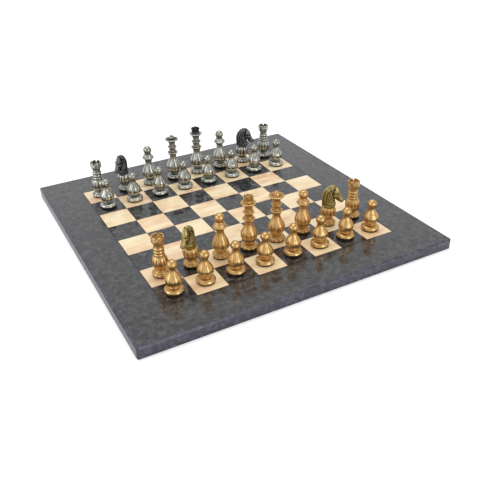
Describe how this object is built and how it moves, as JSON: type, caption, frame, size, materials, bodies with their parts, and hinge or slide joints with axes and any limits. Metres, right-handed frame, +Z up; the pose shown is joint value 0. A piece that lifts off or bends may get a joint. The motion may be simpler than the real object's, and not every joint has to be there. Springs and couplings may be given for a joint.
{
  "type": "chess set with board",
  "caption": "Square veneered chess board with a glossy burl border, carrying brass and nickel chess men with onion-shaped stems that lift off by hand.",
  "frame": {"origin": "centre of the board's underside, on the table", "axes": "+Z up; +X along the near edge to the right; +Y away from the brass side towards the nickel side"},
  "size_m": [0.4, 0.4, 0.0845],
  "materials": {
    "board_core": "raw fibre board",
    "backing_felt": "dark felt",
    "maple_veneer": "maple veneer under gloss lacquer",
    "charcoal_burl_veneer": "charcoal-stained burl veneer under gloss lacquer",
    "dyed_stringing": "black-dyed wood line",
    "grey_burl_veneer": "grey-stained burl veneer under gloss lacquer",
    "lipping_burl_veneer": "grey-stained burl edge under gloss lacquer",
    "lacquered_brass": "satin polished brass",
    "antique_brass": "darkened cast brass",
    "antique_nickel": "antique nickel plate",
    "black_nickel": "black nickel plate",
    "steel_stud": "plain steel"
  },
  "bodies": {
    "board": {"core_panel": "board_core", "backing_sheet": "backing_felt", "light_squares": "maple_veneer", "dark_squares": "charcoal_burl_veneer", "stringing": "dyed_stringing", "border_near": "grey_burl_veneer", "border_far": "grey_burl_veneer", "border_left": "grey_burl_veneer", "border_right": "grey_burl_veneer", "edge_lipping_near": "lipping_burl_veneer", "edge_lipping_far": "lipping_burl_veneer", "edge_lipping_left": "lipping_burl_veneer", "edge_lipping_right": "lipping_burl_veneer"},
    "gold_pawn_1": {"gold_pawn_1": "lacquered_brass"},
    "gold_pawn_2": {"gold_pawn_2": "lacquered_brass"},
    "gold_pawn_3": {"gold_pawn_3": "lacquered_brass"},
    "gold_pawn_4": {"gold_pawn_4": "lacquered_brass"},
    "gold_pawn_5": {"gold_pawn_5": "lacquered_brass"},
    "gold_pawn_6": {"gold_pawn_6": "lacquered_brass"},
    "gold_pawn_7": {"gold_pawn_7": "lacquered_brass"},
    "gold_pawn_8": {"gold_pawn_8": "lacquered_brass"},
    "gold_rook_left": {"gold_rook_left": "lacquered_brass"},
    "gold_bishop_left": {"gold_bishop_left": "lacquered_brass"},
    "gold_knight_left": {"gold_knight_left_base": "lacquered_brass", "gold_knight_left_stud": "steel_stud", "gold_knight_left_head": "antique_brass"},
    "gold_rook_right": {"gold_rook_right": "lacquered_brass"},
    "gold_bishop_right": {"gold_bishop_right": "lacquered_brass"},
    "gold_knight_right": {"gold_knight_right_base": "lacquered_brass", "gold_knight_right_stud": "steel_stud", "gold_knight_right_head": "antique_brass"},
    "gold_queen": {"gold_queen": "lacquered_brass"},
    "gold_king": {"gold_king_body": "lacquered_brass", "gold_king_crown": "lacquered_brass"},
    "silver_pawn_1": {"silver_pawn_1": "antique_nickel"},
    "silver_pawn_2": {"silver_pawn_2": "antique_nickel"},
    "silver_pawn_3": {"silver_pawn_3": "antique_nickel"},
    "silver_pawn_4": {"silver_pawn_4": "antique_nickel"},
    "silver_pawn_5": {"silver_pawn_5": "antique_nickel"},
    "silver_pawn_6": {"silver_pawn_6": "antique_nickel"},
    "silver_pawn_7": {"silver_pawn_7": "antique_nickel"},
    "silver_pawn_8": {"silver_pawn_8": "antique_nickel"},
    "silver_rook_left": {"silver_rook_left": "antique_nickel"},
    "silver_bishop_left": {"silver_bishop_left": "antique_nickel"},
    "silver_knight_left": {"silver_knight_left_base": "antique_nickel", "silver_knight_left_stud": "steel_stud", "silver_knight_left_head": "black_nickel"},
    "silver_rook_right": {"silver_rook_right": "antique_nickel"},
    "silver_bishop_right": {"silver_bishop_right": "antique_nickel"},
    "silver_knight_right": {"silver_knight_right_base": "antique_nickel", "silver_knight_right_stud": "steel_stud", "silver_knight_right_head": "black_nickel"},
    "silver_queen": {"silver_queen": "antique_nickel"},
    "silver_king": {"silver_king_body": "antique_nickel", "silver_king_crown": "black_nickel"}
  },
  "joints": [
    {"name": "gold_pawn_1_lift", "type": "slide", "parent": "board", "child": "gold_pawn_1", "axis": [0, 0, 1], "range_m": [0, 0.1]},
    {"name": "gold_pawn_2_lift", "type": "slide", "parent": "board", "child": "gold_pawn_2", "axis": [0, 0, 1], "range_m": [0, 0.1]},
    {"name": "gold_pawn_3_lift", "type": "slide", "parent": "board", "child": "gold_pawn_3", "axis": [0, 0, 1], "range_m": [0, 0.1]},
    {"name": "gold_pawn_4_lift", "type": "slide", "parent": "board", "child": "gold_pawn_4", "axis": [0, 0, 1], "range_m": [0, 0.1]},
    {"name": "gold_pawn_5_lift", "type": "slide", "parent": "board", "child": "gold_pawn_5", "axis": [0, 0, 1], "range_m": [0, 0.1]},
    {"name": "gold_pawn_6_lift", "type": "slide", "parent": "board", "child": "gold_pawn_6", "axis": [0, 0, 1], "range_m": [0, 0.1]},
    {"name": "gold_pawn_7_lift", "type": "slide", "parent": "board", "child": "gold_pawn_7", "axis": [0, 0, 1], "range_m": [0, 0.1]},
    {"name": "gold_pawn_8_lift", "type": "slide", "parent": "board", "child": "gold_pawn_8", "axis": [0, 0, 1], "range_m": [0, 0.1]},
    {"name": "gold_rook_left_lift", "type": "slide", "parent": "board", "child": "gold_rook_left", "axis": [0, 0, 1], "range_m": [0, 0.1]},
    {"name": "gold_bishop_left_lift", "type": "slide", "parent": "board", "child": "gold_bishop_left", "axis": [0, 0, 1], "range_m": [0, 0.1]},
    {"name": "gold_knight_left_lift", "type": "slide", "parent": "board", "child": "gold_knight_left", "axis": [0, 0, 1], "range_m": [0, 0.1]},
    {"name": "gold_rook_right_lift", "type": "slide", "parent": "board", "child": "gold_rook_right", "axis": [0, 0, 1], "range_m": [0, 0.1]},
    {"name": "gold_bishop_right_lift", "type": "slide", "parent": "board", "child": "gold_bishop_right", "axis": [0, 0, 1], "range_m": [0, 0.1]},
    {"name": "gold_knight_right_lift", "type": "slide", "parent": "board", "child": "gold_knight_right", "axis": [0, 0, 1], "range_m": [0, 0.1]},
    {"name": "gold_queen_lift", "type": "slide", "parent": "board", "child": "gold_queen", "axis": [0, 0, 1], "range_m": [0, 0.1]},
    {"name": "gold_king_lift", "type": "slide", "parent": "board", "child": "gold_king", "axis": [0, 0, 1], "range_m": [0, 0.1]},
    {"name": "silver_pawn_1_lift", "type": "slide", "parent": "board", "child": "silver_pawn_1", "axis": [0, 0, 1], "range_m": [0, 0.1]},
    {"name": "silver_pawn_2_lift", "type": "slide", "parent": "board", "child": "silver_pawn_2", "axis": [0, 0, 1], "range_m": [0, 0.1]},
    {"name": "silver_pawn_3_lift", "type": "slide", "parent": "board", "child": "silver_pawn_3", "axis": [0, 0, 1], "range_m": [0, 0.1]},
    {"name": "silver_pawn_4_lift", "type": "slide", "parent": "board", "child": "silver_pawn_4", "axis": [0, 0, 1], "range_m": [0, 0.1]},
    {"name": "silver_pawn_5_lift", "type": "slide", "parent": "board", "child": "silver_pawn_5", "axis": [0, 0, 1], "range_m": [0, 0.1]},
    {"name": "silver_pawn_6_lift", "type": "slide", "parent": "board", "child": "silver_pawn_6", "axis": [0, 0, 1], "range_m": [0, 0.1]},
    {"name": "silver_pawn_7_lift", "type": "slide", "parent": "board", "child": "silver_pawn_7", "axis": [0, 0, 1], "range_m": [0, 0.1]},
    {"name": "silver_pawn_8_lift", "type": "slide", "parent": "board", "child": "silver_pawn_8", "axis": [0, 0, 1], "range_m": [0, 0.1]},
    {"name": "silver_rook_left_lift", "type": "slide", "parent": "board", "child": "silver_rook_left", "axis": [0, 0, 1], "range_m": [0, 0.1]},
    {"name": "silver_bishop_left_lift", "type": "slide", "parent": "board", "child": "silver_bishop_left", "axis": [0, 0, 1], "range_m": [0, 0.1]},
    {"name": "silver_knight_left_lift", "type": "slide", "parent": "board", "child": "silver_knight_left", "axis": [0, 0, 1], "range_m": [0, 0.1]},
    {"name": "silver_rook_right_lift", "type": "slide", "parent": "board", "child": "silver_rook_right", "axis": [0, 0, 1], "range_m": [0, 0.1]},
    {"name": "silver_bishop_right_lift", "type": "slide", "parent": "board", "child": "silver_bishop_right", "axis": [0, 0, 1], "range_m": [0, 0.1]},
    {"name": "silver_knight_right_lift", "type": "slide", "parent": "board", "child": "silver_knight_right", "axis": [0, 0, 1], "range_m": [0, 0.1]},
    {"name": "silver_queen_lift", "type": "slide", "parent": "board", "child": "silver_queen", "axis": [0, 0, 1], "range_m": [0, 0.1]},
    {"name": "silver_king_lift", "type": "slide", "parent": "board", "child": "silver_king", "axis": [0, 0, 1], "range_m": [0, 0.1]}
  ]
}
